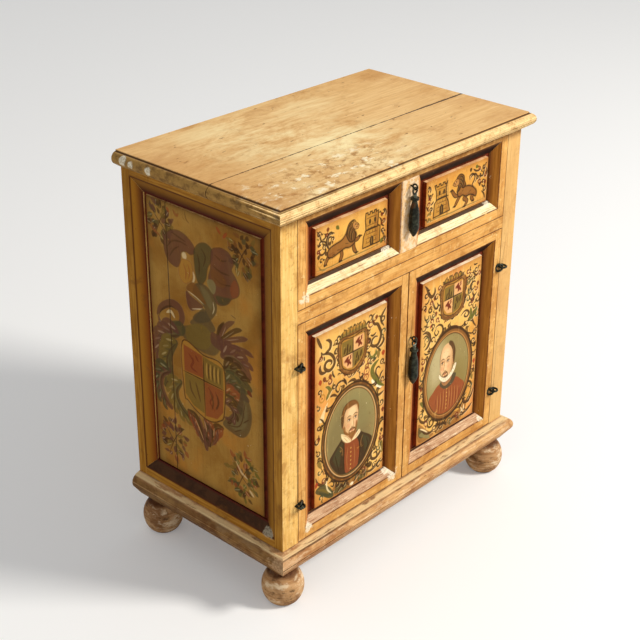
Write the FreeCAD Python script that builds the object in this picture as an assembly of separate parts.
import FreeCAD, Part
import os

os.makedirs("parts", exist_ok=True)
V = FreeCAD.Vector

# Painted cabinet: one drawer over two doors, on four ball feet.
# All lengths in millimetres. x to the right, y from front to back, z up.
# Everything is drawn with y = 0 on the front face of the posts and moved at the end,
# so that the origin lies under the middle of the whole cabinet.

# Main sizes
carcass_width = 660.0
carcass_depth = 396.0
overall_height = 800.0
top_thickness = 34.0
foot_height = 73.0
base_height = 53.0
half_width = carcass_width / 2
top_underside = overall_height - top_thickness
base_top = foot_height + base_height

# Posts
post_width = 40.0
side_flat = 20.0
side_bevel = 27.0
side_bevel_depth = 9.0
post_depth = side_flat + side_bevel
opening_half = half_width - post_width

# Side frames: flats, groove and raised panel of two boards
side_top_flat = 11.0
side_bottom_flat = 15.5
side_rail_thickness = 24.0
side_groove_front = 12.0
side_groove_back = 18.0
side_tongue = 7.0
side_field_recess = 8.0
side_gap_upright = 8.0
side_gap_level = 4.0
side_wall_slope = 1.5
side_joint_from_back = 106.0
tongue_play = 1.0

# Front rails and back rails
case_rail_height = 24.5
drawer_opening_height = 168.0
front_rail_thickness = 34.0
back_rail_thickness = 34.0
back_top_rail_height = 38.0
back_top_rail_thickness = 30.0
tenon_length = 15.0
tenon_thickness = 12.0
tenon_shoulder = 5.0

# Back panel, floor and shelf
back_panel_thickness = 8.0
rebate_width = 12.0
floor_thickness = 12.0
stop_clearance = 0.6
shelf_thickness = 16.0
shelf_height_share = 0.5
cleat_width = 15.0
cleat_height = 20.0

# Top boards and their moulded edge (overhang, height over the underside)
top_overhang = 20.0
top_flat_edge = 9.2
top_quirk_drop = 2.6
top_quirk_ledge = 1.0
top_nose_height = 19.5
top_nose_foot_overhang = 14.5
top_nose_foot_height = 9.0
top_foot_overhang = 1.2
top_joint_from_front = 152.5

# Base moulding (projection, height over its underside)
base_projection = 21.0
base_ledge_end = 11.0
base_ledge_fall = 3.4
base_quirk_drop = 1.4
base_quirk_ledge = 1.4
base_nose_height = 34.0
base_nose_foot_projection = 15.5
base_nose_foot_height = 20.0
base_foot_projection = 1.2

# Ball feet
foot_inset = 21.4
foot_back_inset = 40.2
foot_radius = 40.0
foot_middle_height = 38.0
foot_pad_radius = 25.0
foot_rim_radius = 31.0
foot_rim_height = 6.0
foot_groove_radius = 31.0
foot_groove_height = 8.5
foot_shoulder_radius = 33.8
foot_shoulder_height = 10.5
foot_upper_radius = 29.0
foot_upper_fall = 8.0
foot_neck_radius = 22.0
foot_neck_fall = 4.0
dowel_radius = 6.5
dowel_length = 40.0

# Framed fronts (doors and drawer)
front_thickness = 25.0
front_flat = 18.5
front_bevel = 20.0
front_bevel_depth = 12.0
front_groove_front = 15.0
front_groove_back = 21.0
front_tongue = 7.0
front_field_recess = 7.0
front_gap_upright = 12.0
front_gap_level = 6.0
front_wall_slope = 1.2
drawer_top_flat = 8.0
centre_stile_flat = 45.0

# Clearances round the doors and the drawer
door_side_gap = 1.2
door_top_gap = 1.5
door_bottom_gap = 1.5
door_meeting_left = 3.5
door_meeting_gap = 2.5
drawer_side_gap = 1.0
drawer_front_gap = 1.3
drawer_lift = 0.4
drawer_back_gap = 0.6

# Drawer box
drawer_side_thickness = 12.0
drawer_side_top_gap = 4.6
drawer_back_thickness = 12.0
drawer_bottom_thickness = 6.0
drawer_bottom_height = 8.0
drawer_bottom_groove = 5.0
runner_arm_width = 22.0
runner_arm_thickness = 14.0
runner_guide_height = 42.0

# Hinge eyes: two linked iron rings at each hinge
hinge_ring_radius = 7.4
hinge_wire_radius = 2.2
hinge_axis_forward = 6.6
hinge_low_from_bottom = 84.0
hinge_high_from_top = 81.5
hinge_shank_radius = 1.9
hinge_shank_length = 20.0
hinge_shank_turn_degrees = 45.0
hinge_ring_play = 0.3
hinge_ring_turn_degrees = 30.0
hinge_slot_clearance = 0.4

# Drop pulls: an eye in the wood and an iron drop hanging in it
pull_eye_radius = 5.0
pull_wire_radius = 1.6
pull_forward = 10.0
pull_shank_length = 18.0
pull_ring_play = 0.3
pull_loop_radius = 5.5
drawer_pull_from_top = 23.0
door_pull_from_top = 139.5
drop_neck_radius = 3.4
drop_collar_top = 19.5
drop_collar_height = 4.5
drop_collar_radius = 7.8
drop_waist_radius = 4.8
drop_shoulder_fall = 38.0
drop_shoulder_radius = 7.2
drop_belly_fall = 68.0
drop_belly_radius = 9.4
drop_point_fall = 86.0
drop_point_radius = 7.0
drop_length = 95.0
drop_tip_radius = 1.2

# Levels and lines that follow from the sizes
drawer_floor = top_underside - drawer_opening_height
door_opening_top = drawer_floor - case_rail_height
middle_y = (base_projection - carcass_depth) / 2
back_y = carcass_depth
side_inner_x = half_width - side_rail_thickness
side_panel_back_x = half_width - side_groove_back


def box(x0, x1, y0, y1, z0, z1):
    return Part.makeBox(x1 - x0, y1 - y0, z1 - z0, V(x0, y0, z0))


def joined(shapes):
    whole = shapes[0]
    for piece in shapes[1:]:
        whole = whole.fuse(piece)
    return whole.removeSplitter()


def without(shape, cutters):
    for cutter in cutters:
        shape = shape.cut(cutter)
    return shape


def mirrored(shape):
    return shape.mirror(V(0, 0, 0), V(1, 0, 0))


def save(node, shape):
    moved = shape.copy()
    moved.translate(V(0, middle_y, 0))
    moved.exportStep("parts/" + node + ".step")


def upright_wire(x0, x1, z0, z1, y):
    corners = [V(x0, y, z0), V(x1, y, z0), V(x1, y, z1), V(x0, y, z1), V(x0, y, z0)]
    return Part.makePolygon(corners)


def splayed_block(outer, inner, y_outer, y_inner):
    wires = [upright_wire(*outer, y_outer), upright_wire(*inner, y_inner)]
    return Part.makeLoft(wires, True, True)


def prism(points, y0, y1):
    corners = [V(x, y0, z) for x, z in points]
    face = Part.Face(Part.makePolygon(corners + corners[:1]))
    return face.extrude(V(0, y1 - y0, 0))


def opening(flat_edges, bevel, bevel_depth, thickness):
    """The hole of a framed panel: splayed in front, straight behind."""
    x0, x1, z0, z1 = flat_edges
    inner = (x0 + bevel, x1 - bevel, z0 + bevel, z1 - bevel)
    splay = splayed_block(flat_edges, inner, 0, bevel_depth)
    through = box(inner[0], inner[1], bevel_depth, thickness, inner[2], inner[3])
    return splay.fuse(through)


def grown(edges, dx, dz):
    return (edges[0] - dx, edges[1] + dx, edges[2] - dz, edges[3] + dz)


def raised_panel(inner, tongue, gaps, slope, recess, tongue_front, back):
    """A panel with a raised field, its tongue sitting in the groove of the frame."""
    body_edges = grown(inner, tongue, tongue)
    body = box(body_edges[0], body_edges[1], tongue_front, back, body_edges[2], body_edges[3])
    field = grown(inner, -gaps[0], -gaps[1])
    foot = grown(field, slope, slope)
    return joined([body, splayed_block(field, foot, recess, tongue_front)])


def stile_outline(x_outer, x_flat, x_inner, edges, z_flats, z_inners):
    return [(x_outer, edges[0]), (x_flat, edges[0]), (x_flat, z_flats[0]), (x_inner, z_inners[0]),
            (x_inner, z_inners[1]), (x_flat, z_flats[1]), (x_flat, edges[1]), (x_outer, edges[1])]


def rail_outline(z_outer, z_flat, z_inner, x_flats, x_inners):
    return [(x_flats[0], z_outer), (x_flats[1], z_outer), (x_flats[1], z_flat),
            (x_inners[1], z_inner), (x_inners[0], z_inner), (x_flats[0], z_flat)]


# Side frames, drawn facing the front and then turned to the left side

side_x_flats = (side_flat, carcass_depth - side_flat)
side_x_inners = (post_depth, carcass_depth - post_depth)
side_z_flats = (base_top + side_bottom_flat, top_underside - side_top_flat)
side_z_inners = (side_z_flats[0] + side_bevel, side_z_flats[1] - side_bevel)
side_flat_edges = side_x_flats + side_z_flats
side_inner_edges = side_x_inners + side_z_inners


def to_left_side(shape):
    turned = shape.copy()
    turned.rotate(V(0, 0, 0), V(0, 0, 1), -90)
    turned.translate(V(-half_width, carcass_depth, 0))
    return turned


side_hole = opening(side_flat_edges, side_bevel, side_bevel_depth, post_width)
side_groove_edges = grown(side_inner_edges, side_tongue, side_tongue)
side_groove = box(side_groove_edges[0], side_groove_edges[1], side_groove_front, side_groove_back,
                  side_groove_edges[2], side_groove_edges[3])
side_cutters = [to_left_side(side_hole), to_left_side(side_groove)]

bottom_outline = rail_outline(foot_height, side_z_flats[0], side_z_inners[0], side_x_flats, side_x_inners)
top_outline = rail_outline(top_underside, side_z_flats[1], side_z_inners[1], side_x_flats, side_x_inners)
left_bottom_blank = to_left_side(prism(bottom_outline, 0, side_rail_thickness))
left_top_blank = to_left_side(prism(top_outline, 0, side_rail_thickness))

side_panel = raised_panel(side_inner_edges, side_tongue - tongue_play, (side_gap_upright, side_gap_level),
                          side_wall_slope, side_field_recess, side_groove_front, side_groove_back)
side_panel = to_left_side(side_panel)
side_joint_y = carcass_depth - side_joint_from_back
front_half = box(-carcass_width, 0, 0, side_joint_y, 0, overall_height)
left_front_board = side_panel.common(front_half)
left_back_board = side_panel.cut(front_half)

# Ball feet


def ball_foot():
    lower = [V(0, 0, 0), V(foot_pad_radius, 0, 0), V(foot_rim_radius, 0, foot_rim_height)]
    shoulder = V(foot_shoulder_radius, 0, foot_shoulder_height)
    notch = V(foot_groove_radius, 0, foot_groove_height)
    middle = V(foot_radius, 0, foot_middle_height)
    upper = V(foot_upper_radius, 0, foot_height - foot_upper_fall)
    neck = [V(foot_neck_radius, 0, foot_height - foot_neck_fall), V(foot_neck_radius, 0, foot_height)]
    dowel = [V(dowel_radius, 0, foot_height), V(dowel_radius, 0, foot_height + dowel_length)]
    top = V(0, 0, foot_height + dowel_length)
    edges = [Part.makeLine(lower[0], lower[1]), Part.makeLine(lower[1], lower[2])]
    edges += [Part.makeLine(lower[2], notch), Part.makeLine(notch, shoulder)]
    belly = Part.Arc(shoulder, middle, upper).toBSpline()
    edges += [belly.toShape(), Part.makeLine(upper, neck[0])]
    edges += [Part.makeLine(neck[0], neck[1]), Part.makeLine(neck[1], dowel[0])]
    edges += [Part.makeLine(dowel[0], dowel[1]), Part.makeLine(dowel[1], top), Part.makeLine(top, lower[0])]
    return Part.Face(Part.Wire(edges)).revolve(V(0, 0, 0), V(0, 0, 1), 360)


def placed(shape, x, y, z):
    moved = shape.copy()
    moved.translate(V(x, y, z))
    return moved


foot_x = half_width - foot_inset
foot_back_y = carcass_depth - foot_back_inset
front_left_foot = placed(ball_foot(), -foot_x, foot_inset, 0)
back_left_foot = placed(ball_foot(), -foot_x, foot_back_y, 0)

# Iron eyes

hinge_heights = (base_top + hinge_low_from_bottom, door_opening_top - hinge_high_from_top)
hinge_hang = hinge_ring_radius - 2 * hinge_wire_radius - hinge_ring_play


def shank(start, radius, length, direction=V(0, 1, 0)):
    return Part.makeCylinder(radius, length, start, direction)


def post_eye(z):
    """A level ring round the hinge axis, with its shank driven slantwise into the post."""
    centre = V(-opening_half, -hinge_axis_forward, z)
    ring = Part.makeTorus(hinge_ring_radius, hinge_wire_radius, centre, V(0, 0, 1))
    turn = FreeCAD.Rotation(V(0, 0, 1), hinge_shank_turn_degrees)
    start = centre + turn.multVec(V(0, hinge_ring_radius, 0))
    leg = shank(start, hinge_shank_radius, hinge_shank_length, turn.multVec(V(0, 1, 0)))
    return joined([ring, leg])


def door_eye(z):
    """An upright ring hooked through the level one, with its shank driven into the door."""
    x = -opening_half
    turn = FreeCAD.Rotation(V(0, 0, 1), hinge_ring_turn_degrees)
    reach = turn.multVec(V(hinge_ring_radius, 0, 0))
    facing = turn.multVec(V(0, 1, 0))
    centre = V(x, -hinge_axis_forward, z - hinge_hang) + reach
    ring = Part.makeTorus(hinge_ring_radius, hinge_wire_radius, centre, facing)
    start = centre + reach
    leg = shank(start, hinge_shank_radius, hinge_shank_length - start.y)
    return joined([ring, leg])


def hinge_slot(z):
    """Room in the edge of the door for the level ring."""
    reach = hinge_ring_radius + hinge_wire_radius + hinge_slot_clearance
    half_height = hinge_wire_radius + hinge_slot_clearance
    return Part.makeCylinder(reach, 2 * half_height, V(-opening_half, -hinge_axis_forward, z - half_height))


left_post_eyes = [post_eye(z) for z in hinge_heights]
left_door_eyes = [door_eye(z) for z in hinge_heights]
left_hinge_cutters = left_door_eyes + [hinge_slot(z) for z in hinge_heights]


def pull_eye(x, z):
    centre = V(x, -pull_forward, z)
    ring = Part.makeTorus(pull_eye_radius, pull_wire_radius, centre, V(1, 0, 0))
    start = V(x, pull_eye_radius - pull_forward, z)
    leg = shank(start, pull_wire_radius, pull_shank_length - start.y)
    return joined([ring, leg])


def pull_drop(x, z):
    loop_wire_fall = pull_eye_radius - 2 * pull_wire_radius - pull_ring_play
    loop_fall = loop_wire_fall + pull_loop_radius
    loop = Part.makeTorus(pull_loop_radius, pull_wire_radius, V(0, 0, -loop_fall), V(0, 1, 0))
    neck_top = loop_fall + pull_loop_radius
    collar_foot = drop_collar_top + drop_collar_height
    outline = [V(0, 0, -neck_top), V(drop_neck_radius, 0, -neck_top)]
    outline += [V(drop_neck_radius, 0, -drop_collar_top)]
    outline += [V(drop_collar_radius, 0, -drop_collar_top), V(drop_collar_radius, 0, -collar_foot)]
    outline += [V(drop_waist_radius, 0, -collar_foot)]
    edges = [Part.makeLine(a, b) for a, b in zip(outline, outline[1:])]
    shoulder = V(drop_shoulder_radius, 0, -drop_shoulder_fall)
    belly = V(drop_belly_radius, 0, -drop_belly_fall)
    point = V(drop_point_radius, 0, -drop_point_fall)
    tip = V(drop_tip_radius, 0, -drop_length)
    side = Part.BSplineCurve()
    side.interpolate([outline[-1], shoulder, belly], InitialTangent=V(0, 0, -1), FinalTangent=V(0, 0, -1))
    end_arc = Part.Arc(belly, point, tip)
    end = V(0, 0, -drop_length)
    edges += [side.toShape(), end_arc.toShape(), Part.makeLine(tip, end), Part.makeLine(end, outline[0])]
    drop = Part.Face(Part.Wire(edges)).revolve(V(0, 0, 0), V(0, 0, 1), 360)
    return placed(joined([loop, drop]), x, -pull_forward, z)


# Front and back rails, with their tenons


def tenoned_rail(y0, y1, z0, z1):
    y_middle = (y0 + y1) / 2
    tenon_y0 = y_middle - tenon_thickness / 2
    reach = opening_half + tenon_length
    tenon = box(-reach, reach, tenon_y0, tenon_y0 + tenon_thickness, z0 + tenon_shoulder, z1 - tenon_shoulder)
    return joined([box(-opening_half, opening_half, y0, y1, z0, z1), tenon])


case_rail = tenoned_rail(0, post_depth, door_opening_top, drawer_floor)
front_bottom_rail = tenoned_rail(0, front_rail_thickness, foot_height, base_top)
back_bottom_rail = tenoned_rail(back_y - back_rail_thickness, back_y, foot_height, base_top)
back_top_rail = tenoned_rail(back_y - back_top_rail_thickness, back_y,
                             top_underside - back_top_rail_height, top_underside)

back_panel_half = opening_half + rebate_width
back_panel = box(-back_panel_half, back_panel_half, back_y - back_panel_thickness, back_y,
                 base_top - rebate_width, top_underside - back_top_rail_height + rebate_width)
save("back_panel", back_panel)
save("case_rail", case_rail)
left_feet = [front_left_foot, back_left_foot]
feet = left_feet + [mirrored(foot) for foot in left_feet]
save("front_bottom_rail", without(front_bottom_rail, feet))
save("back_bottom_rail", without(back_bottom_rail, feet + [back_panel]))
save("back_top_rail", back_top_rail.cut(back_panel))

# Side rails and boards

left_bottom_rail = without(left_bottom_blank, side_cutters + left_feet)
left_top_rail = without(left_top_blank, side_cutters)
side_pieces = {
    "bottom_rail": left_bottom_rail,
    "top_rail": left_top_rail,
    "front_side_board": left_front_board,
    "back_side_board": left_back_board,
}
for name, piece in side_pieces.items():
    save("left_" + name, piece)
    save("right_" + name, mirrored(piece))

# Posts

front_post_blank = box(-half_width, -opening_half, 0, post_depth, foot_height, top_underside)
back_post_blank = box(-half_width, -opening_half, back_y - post_depth, back_y, foot_height, top_underside)
post_cutters = side_cutters + [left_bottom_blank, left_top_blank]
front_left_post = without(front_post_blank, post_cutters + [case_rail, front_bottom_rail, front_left_foot]
                          + left_post_eyes)
back_left_post = without(back_post_blank, post_cutters + [back_bottom_rail, back_top_rail, back_panel,
                                                          back_left_foot])
save("front_left_post", front_left_post)
save("front_right_post", mirrored(front_left_post))
save("back_left_post", back_left_post)
save("back_right_post", mirrored(back_left_post))
save("front_left_foot", front_left_foot)
save("front_right_foot", mirrored(front_left_foot))
save("back_left_foot", back_left_foot)
save("back_right_foot", mirrored(back_left_foot))

right_post_eyes = [mirrored(eye) for eye in left_post_eyes]
save("post_hinge_eyes", Part.makeCompound(left_post_eyes + right_post_eyes))

# Top boards


def moulded_line(reach, foot, nose_foot, nose, quirk, flat, top):
    """Outline of a moulded edge from its foot to its top; each value is (projection, height)."""
    points = [V(reach + p[0], 0, p[1]) for p in (foot, nose_foot, nose, quirk, flat, top)]
    nose_arc = Part.Arc(points[1], points[2], points[3]).toShape()
    return [Part.makeLine(points[0], points[1]), nose_arc,
            Part.makeLine(points[3], points[4]), Part.makeLine(points[4], points[5])]


def moulded_slab(reach, line_values, z0, z1, length):
    """A bar along y whose two long edges carry the moulding, reach being half its bare width."""
    right = moulded_line(reach, *line_values)
    first = right[0].Vertexes[0].Point
    last = right[-1].Vertexes[-1].Point
    middle_low = V(0, 0, z0)
    middle_high = V(0, 0, z1)
    loop = [Part.makeLine(middle_low, first)] + right
    loop += [Part.makeLine(last, middle_high), Part.makeLine(middle_high, middle_low)]
    half = Part.Face(Part.Wire(loop)).extrude(V(0, length, 0))
    return joined([half, mirrored(half)])


def moulded_block(line_values, z0, z1, projection):
    """A block with the moulding along its front, left and right edges and a plain back."""
    long_bar = moulded_slab(half_width, line_values, z0, z1, carcass_depth + projection)
    long_bar.translate(V(0, -projection, 0))
    cross_bar = moulded_slab(carcass_depth, line_values, z0, z1, carcass_width + 2 * projection)
    cross_bar.rotate(V(0, 0, 0), V(0, 0, 1), 90)
    cross_bar.translate(V(half_width + projection, carcass_depth, 0))
    return long_bar.common(cross_bar)


top_line = [(top_foot_overhang, top_underside),
            (top_nose_foot_overhang, top_underside + top_nose_foot_height),
            (top_overhang, top_underside + top_nose_height),
            (top_flat_edge + top_quirk_ledge, overall_height - top_quirk_drop),
            (top_flat_edge, overall_height - top_quirk_drop),
            (top_flat_edge, overall_height)]
top_block = moulded_block(top_line, top_underside, overall_height, top_overhang)
front_zone = box(-carcass_width, carcass_width, -post_depth, top_joint_from_front, 0, carcass_width * 2)
save("top_front_board", top_block.common(front_zone))
save("top_back_board", top_block.cut(front_zone))

# Base mouldings, mitred at the front corners

base_line = [(base_foot_projection, foot_height),
             (base_nose_foot_projection, foot_height + base_nose_foot_height),
             (base_projection, foot_height + base_nose_height),
             (base_ledge_end + base_quirk_ledge, base_top - base_ledge_fall - base_quirk_drop),
             (base_ledge_end, base_top - base_ledge_fall),
             (0, base_top)]
base_block = moulded_block(base_line, foot_height, base_top, base_projection)
core = box(-half_width, half_width, 0, carcass_depth, 0, overall_height)
base_ring = base_block.cut(core)
mitre = [V(-half_width - post_width, -post_width, 0), V(-half_width, 0, 0), V(half_width, 0, 0),
         V(half_width + post_width, -post_width, 0)]
mitre_face = Part.Face(Part.makePolygon(mitre + mitre[:1]))
front_wedge = mitre_face.extrude(V(0, 0, overall_height))
side_mouldings = base_ring.cut(front_wedge)
left_space = box(-carcass_width, 0, -carcass_depth, 2 * carcass_depth, 0, overall_height)
save("front_base_moulding", base_ring.common(front_wedge))
save("left_base_moulding", side_mouldings.common(left_space))
save("right_base_moulding", side_mouldings.cut(left_space))

# Floor, shelf and cleats


def inner_board(z0, thickness, y0, half_length):
    """A board across the cupboard, narrowed where it passes between the posts."""
    z1 = z0 + thickness
    back = back_y - back_panel_thickness
    wide = box(-half_length, half_length, post_depth, back_y - post_depth, z0, z1)
    narrow = box(-opening_half, opening_half, y0, back, z0, z1)
    return joined([narrow, wide])


board_front = front_thickness + stop_clearance
shelf_z = base_top + (door_opening_top - base_top) * shelf_height_share
save("floor_board", inner_board(base_top, floor_thickness, board_front, side_inner_x))
save("shelf", inner_board(shelf_z, shelf_thickness, board_front, side_panel_back_x))
cleat = box(-side_panel_back_x, cleat_width - side_panel_back_x, post_depth, back_y - post_depth,
            shelf_z - cleat_height, shelf_z)
save("shelf_cleats", Part.makeCompound([cleat, mirrored(cleat)]))

# Drawer runners

runner_arm = box(-side_panel_back_x, runner_arm_width - opening_half, post_depth, back_y - post_depth,
                 drawer_floor - runner_arm_thickness, drawer_floor)
runner_guide = box(-side_panel_back_x, -opening_half, post_depth, back_y - post_depth,
                   drawer_floor, drawer_floor + runner_guide_height)
left_runner = joined([runner_arm, runner_guide])
save("left_drawer_runner", left_runner)
save("right_drawer_runner", mirrored(left_runner))

# Framed fronts


def front_cutters(flat_edges):
    inner = grown(flat_edges, -front_bevel, -front_bevel)
    groove = grown(inner, front_tongue, front_tongue)
    groove_box = box(groove[0], groove[1], front_groove_front, front_groove_back, groove[2], groove[3])
    return [opening(flat_edges, front_bevel, front_bevel_depth, front_thickness), groove_box]


def front_panel(flat_edges):
    inner = grown(flat_edges, -front_bevel, -front_bevel)
    return raised_panel(inner, front_tongue - tongue_play, (front_gap_upright, front_gap_level),
                        front_wall_slope, front_field_recess, front_groove_front, front_groove_back)


def framed_door(x0, x1, z0, z1):
    flat_edges = (x0 + front_flat, x1 - front_flat, z0 + front_flat, z1 - front_flat)
    inner = grown(flat_edges, -front_bevel, -front_bevel)
    cutters = front_cutters(flat_edges)
    outlines = {
        "left_stile": stile_outline(x0, flat_edges[0], inner[0], (z0, z1), flat_edges[2:], inner[2:]),
        "right_stile": stile_outline(x1, flat_edges[1], inner[1], (z0, z1), flat_edges[2:], inner[2:]),
        "bottom_rail": rail_outline(z0, flat_edges[2], inner[2], flat_edges[:2], inner[:2]),
        "top_rail": rail_outline(z1, flat_edges[3], inner[3], flat_edges[:2], inner[:2]),
    }
    pieces = {name: without(prism(line, 0, front_thickness), cutters) for name, line in outlines.items()}
    pieces["panel"] = front_panel(flat_edges)
    return pieces


door_z = (base_top + door_bottom_gap, door_opening_top - door_top_gap)
door_outer_x = opening_half - door_side_gap
right_meeting_x = door_meeting_left + door_meeting_gap
left_door = framed_door(-door_outer_x, door_meeting_left, *door_z)
right_door = framed_door(right_meeting_x, door_outer_x, *door_z)
door_pull_x = right_meeting_x + front_flat / 2
door_pull_z = door_opening_top - door_pull_from_top
right_door_eyes = [mirrored(eye) for eye in left_door_eyes]
right_hinge_cutters = [mirrored(cutter) for cutter in left_hinge_cutters]
door_pull_eye = pull_eye(door_pull_x, door_pull_z)

left_door["hinge_stile"] = without(left_door.pop("left_stile"), left_hinge_cutters)
left_door["meeting_stile"] = left_door.pop("right_stile")
right_door["hinge_stile"] = without(right_door.pop("right_stile"), right_hinge_cutters)
right_door["meeting_stile"] = right_door.pop("left_stile").cut(door_pull_eye)
for side, door in (("left", left_door), ("right", right_door)):
    for piece, shape in door.items():
        save(side + "_door_" + piece, shape)
save("left_door_hinge_eyes", Part.makeCompound(left_door_eyes))
save("right_door_hinge_eyes", Part.makeCompound(right_door_eyes))
save("door_pull_eye", door_pull_eye)
save("door_pull_drop", pull_drop(door_pull_x, door_pull_z))

# Drawer front: five frame members and two raised fields

drawer_x = opening_half - drawer_side_gap
drawer_z0 = drawer_floor + drawer_front_gap
drawer_z1 = top_underside - drawer_front_gap
drawer_flats = (drawer_z0 + front_flat, drawer_z1 - drawer_top_flat)
drawer_inners = (drawer_flats[0] + front_bevel, drawer_flats[1] - front_bevel)
stile_flat_x = drawer_x - front_flat
stile_inner_x = stile_flat_x - front_bevel
centre_flat_x = centre_stile_flat / 2
centre_inner_x = centre_flat_x + front_bevel
left_field_edges = (-stile_flat_x, -centre_flat_x) + drawer_flats
right_field_edges = (centre_flat_x, stile_flat_x) + drawer_flats
drawer_cutters = front_cutters(left_field_edges) + front_cutters(right_field_edges)


def drawer_rail(z_outer, z_flat, z_inner):
    right = [(stile_flat_x, z_outer), (stile_flat_x, z_flat), (stile_inner_x, z_inner),
             (centre_inner_x, z_inner), (centre_flat_x, z_flat)]
    left = [(-x, z) for x, z in reversed(right)]
    return without(prism(right + left, 0, front_thickness), drawer_cutters)


left_stile_line = stile_outline(-drawer_x, -stile_flat_x, -stile_inner_x, (drawer_z0, drawer_z1),
                                drawer_flats, drawer_inners)
centre_right = [(centre_flat_x, drawer_flats[0]), (centre_inner_x, drawer_inners[0]),
                (centre_inner_x, drawer_inners[1]), (centre_flat_x, drawer_flats[1])]
centre_line = centre_right + [(-x, z) for x, z in reversed(centre_right)]
left_drawer_stile = without(prism(left_stile_line, 0, front_thickness), drawer_cutters)
centre_stile = without(prism(centre_line, 0, front_thickness), drawer_cutters)
drawer_pull_z = top_underside - drawer_pull_from_top
drawer_pull_eye = pull_eye(0, drawer_pull_z)

# Drawer box

side_z0 = drawer_floor + drawer_lift
side_z1 = top_underside - drawer_side_top_gap
drawer_end = back_y - back_top_rail_thickness - drawer_back_gap
bottom_z0 = side_z0 + drawer_bottom_height
bottom_z1 = bottom_z0 + drawer_bottom_thickness
side_inner = drawer_x - drawer_side_thickness
bottom_half = side_inner + drawer_bottom_groove
drawer_bottom = box(-bottom_half, bottom_half, front_thickness, drawer_end - drawer_back_thickness
                    + drawer_bottom_groove, bottom_z0, bottom_z1)
left_drawer_side = box(-drawer_x, -side_inner, front_thickness, drawer_end, side_z0, side_z1)
left_drawer_side = left_drawer_side.cut(drawer_bottom)
drawer_back = box(-side_inner, side_inner, drawer_end - drawer_back_thickness, drawer_end, side_z0, side_z1)

save("drawer_bottom_rail", drawer_rail(drawer_z0, drawer_flats[0], drawer_inners[0]))
save("drawer_top_rail", drawer_rail(drawer_z1, drawer_flats[1], drawer_inners[1]))
save("drawer_left_stile", left_drawer_stile)
save("drawer_right_stile", mirrored(left_drawer_stile))
save("drawer_centre_stile", centre_stile.cut(drawer_pull_eye))
save("drawer_left_field", front_panel(left_field_edges))
save("drawer_right_field", front_panel(right_field_edges))
save("drawer_left_side", left_drawer_side)
save("drawer_right_side", mirrored(left_drawer_side))
save("drawer_back", drawer_back.cut(drawer_bottom))
save("drawer_bottom", drawer_bottom)
save("drawer_pull_eye", drawer_pull_eye)
save("drawer_pull_drop", pull_drop(0, drawer_pull_z))
